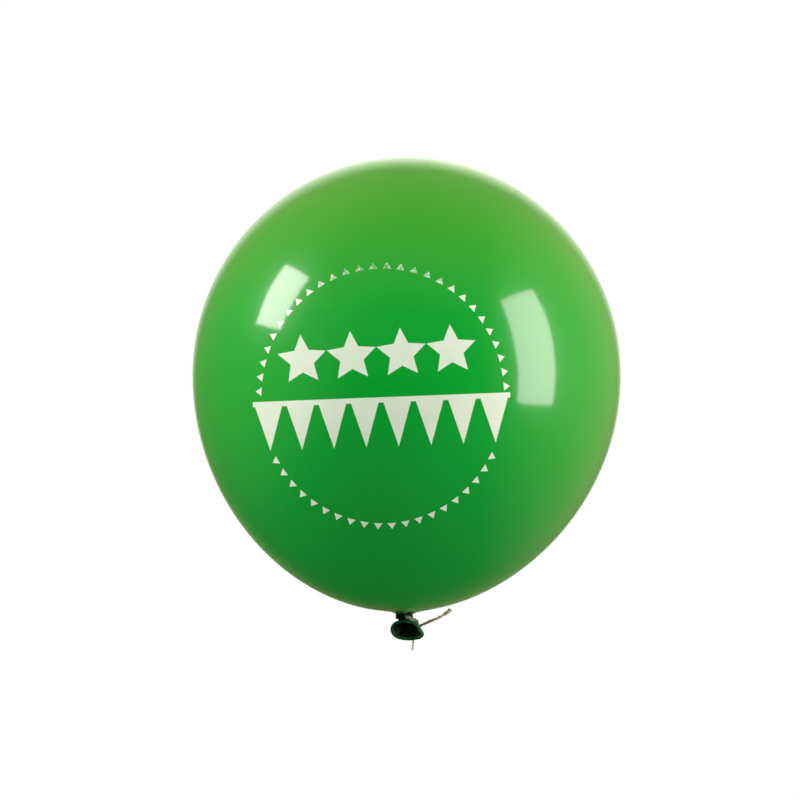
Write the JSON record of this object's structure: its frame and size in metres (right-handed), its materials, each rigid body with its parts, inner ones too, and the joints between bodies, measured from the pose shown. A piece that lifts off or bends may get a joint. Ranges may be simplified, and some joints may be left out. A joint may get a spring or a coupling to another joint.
{
  "type": "latex balloon",
  "caption": "Inflated round party balloon with a knotted neck, a rolled mouth, a printed front and a short twine tie.",
  "frame": {"origin": "middle of the latex knot in the neck, where the twine is tied", "axes": "+Z from the knot up to the balloon's crown, -Y is the printed front, +X is to the right seen from the front"},
  "size_m": [0.3, 0.3001, 0.3451],
  "materials": {
    "latex": "gloss",
    "twine": "matte",
    "ink": "satin"
  },
  "bodies": {
    "balloon": {"envelope": "latex", "neck_knot": "latex", "neck_stem": "latex", "twine_loop": "twine", "twine_knot": "twine", "print_pennants": "ink", "print_stars": "ink", "print_bunting": "ink"},
    "mouth": {"mouth_funnel": "latex", "rolled_rim": "latex"},
    "upper_tail": {"twine_tail_upper": "twine"},
    "lower_tail": {"twine_tail_lower": "twine"}
  },
  "joints": [
    {"name": "mouth_flex", "type": "hinge", "parent": "balloon", "child": "mouth", "pos_m": [0, 0, -0.003], "axis": [1, 0, 0], "range_deg": [-8, 25], "stiffness_Nm_per_rad": 0.00005},
    {"name": "upper_tail_swing", "type": "hinge", "parent": "balloon", "child": "upper_tail", "pos_m": [0.0071, 0.0022, -0.0086], "axis": [0, 1, 0], "range_deg": [-1, 38]},
    {"name": "lower_tail_swing", "type": "hinge", "parent": "balloon", "child": "lower_tail", "pos_m": [0.0071, 0.0022, -0.0086], "axis": [0, 1, 0], "range_deg": [-20, 20]}
  ]
}
